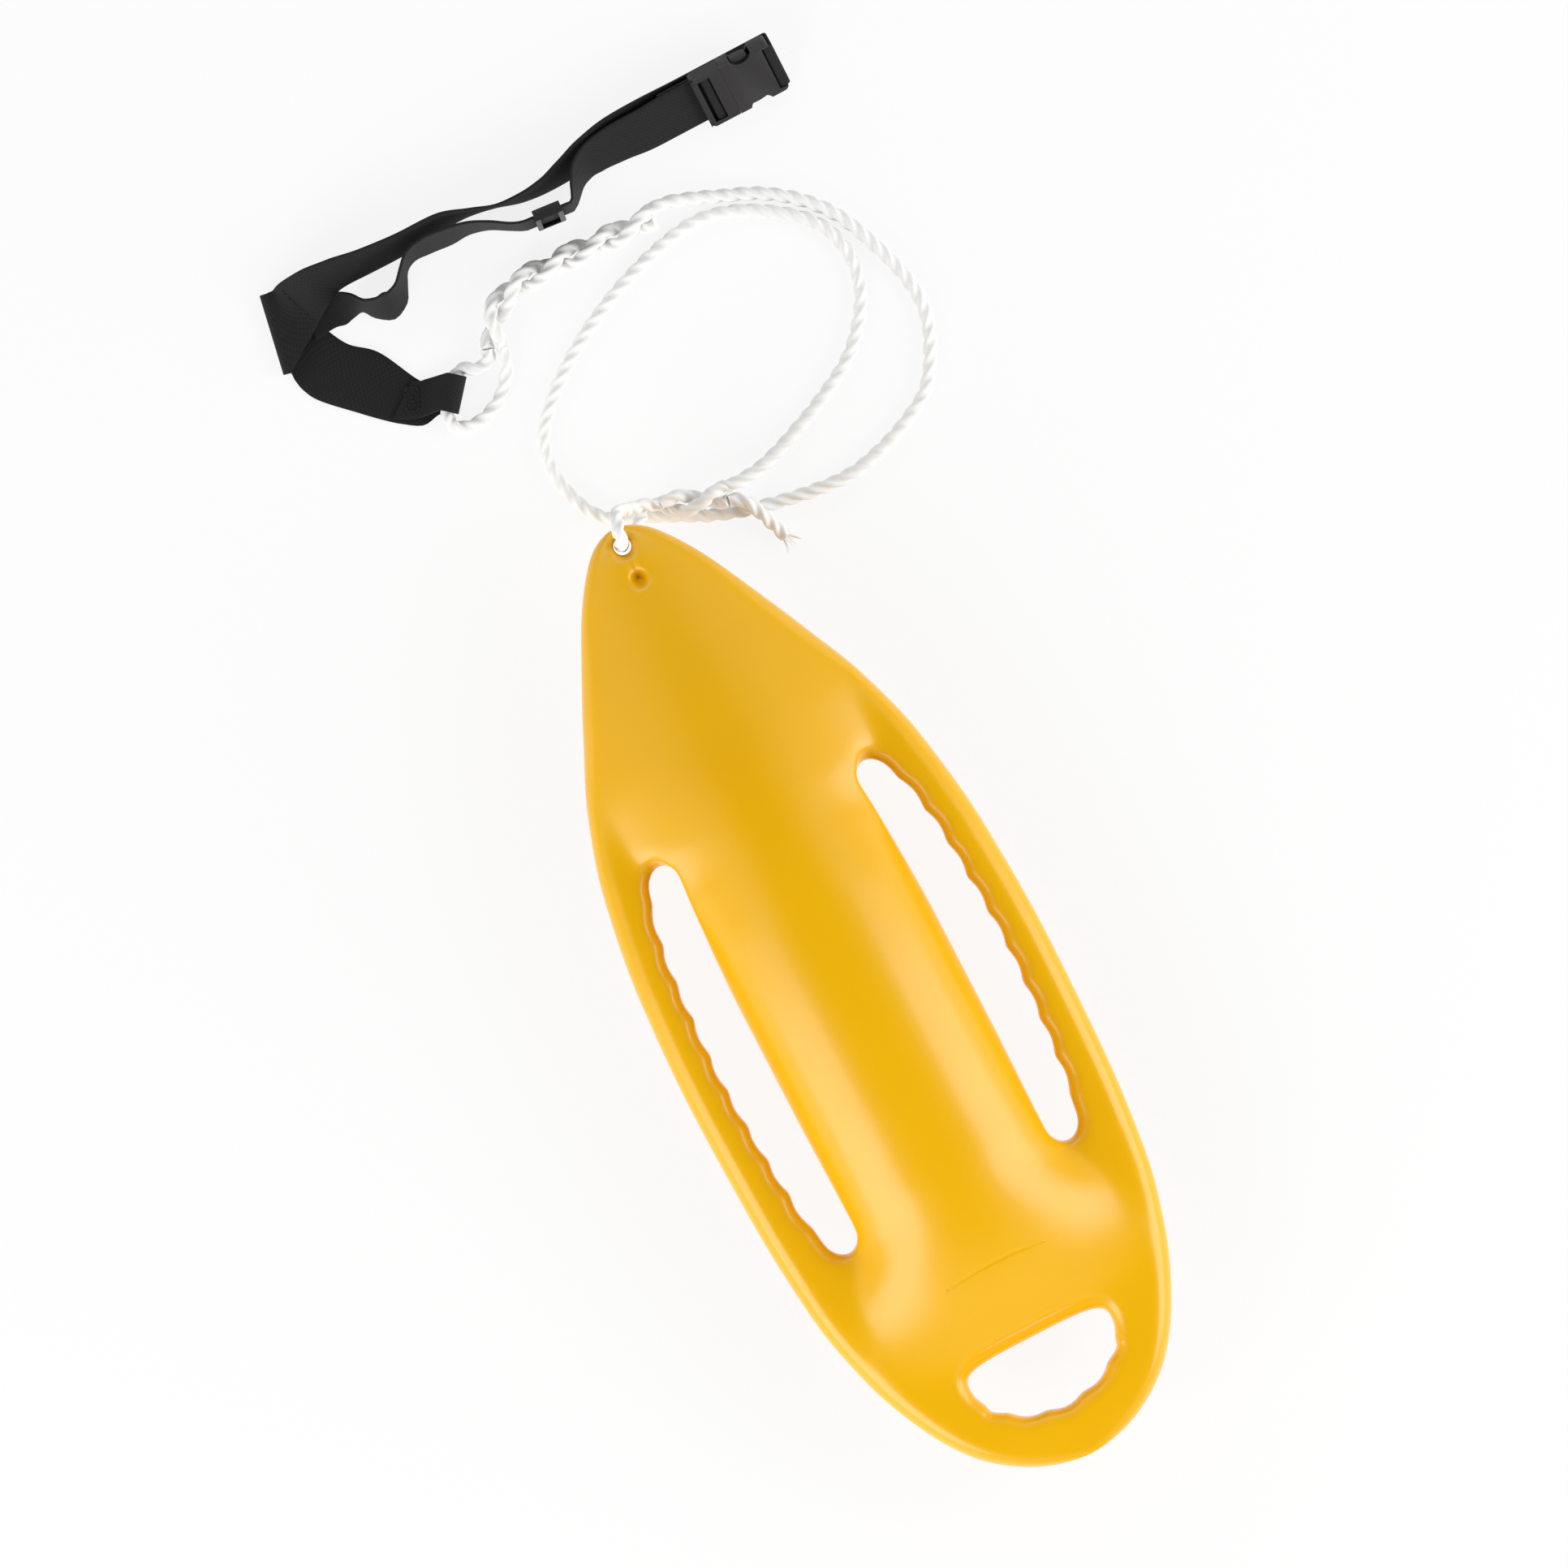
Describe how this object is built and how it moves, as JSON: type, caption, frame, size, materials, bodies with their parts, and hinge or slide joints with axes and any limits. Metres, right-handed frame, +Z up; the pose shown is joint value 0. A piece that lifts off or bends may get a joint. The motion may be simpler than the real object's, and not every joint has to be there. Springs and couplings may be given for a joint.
{
  "type": "rescue can buoy",
  "caption": "Rigid torpedo-shaped rescue can with hand slots and a tail grip, a coiled tow rope and a webbing shoulder strap with a side-release buckle.",
  "frame": {"origin": "on the flat of the float's belly, on its middle line, halfway along its length; the part rests on this plane", "axes": "+Y along the float towards its nose, +Z up, +X to the side that the strap's buckle lies on"},
  "size_m": [0.4173, 0.9677, 0.1379],
  "materials": {
    "shell": "satin moulded polyethylene",
    "vent": "moulded polyethylene",
    "washer": "moulded rubber",
    "rope": "white laid rope",
    "webbing": "woven black webbing",
    "thread": "black sewing thread",
    "buckle": "black moulded acetal"
  },
  "bodies": {
    "float": {"can_shell": "shell", "vent_plug": "vent", "vent_washer": "washer", "tow_rope": "rope", "belt_splice": "rope", "belt_rope_eye": "rope", "nose_splice": "rope", "nose_rope_eye": "rope", "rope_tail": "rope", "adjuster_strap": "webbing", "shoulder_strap": "webbing", "lead_stitching": "thread", "junction_stitching": "thread", "buckle_plug": "buckle"},
    "socket": {"buckle_socket": "buckle", "buckle_loop_webbing": "webbing", "loop_stitching": "thread"},
    "left_prong": {"left_prong": "buckle"},
    "right_prong": {"right_prong": "buckle"},
    "slider": {"triglide_slider": "buckle"}
  },
  "joints": [
    {"name": "buckle_release", "type": "slide", "parent": "float", "child": "socket", "axis": [1, 0.0087, 0], "range_m": [0, 0.035], "deforming": ["left_prong", "right_prong"]},
    {"name": "left_prong_squeeze", "type": "hinge", "parent": "float", "child": "left_prong", "pos_m": [0.21147, 0.60203, 0.03397], "axis": [-0.0062, 0.7071, -0.7071], "range_deg": [0, 12], "stiffness_Nm_per_rad": 0.7},
    {"name": "right_prong_squeeze", "type": "hinge", "parent": "float", "child": "right_prong", "pos_m": [0.21169, 0.57728, 0.00923], "axis": [0.0062, -0.7071, 0.7071], "range_deg": [0, 12], "stiffness_Nm_per_rad": 0.7},
    {"name": "slider_travel", "type": "slide", "parent": "float", "child": "slider", "axis": [0.9961, -0.0878, 0], "range_m": [-0.007, 0.005]}
  ]
}
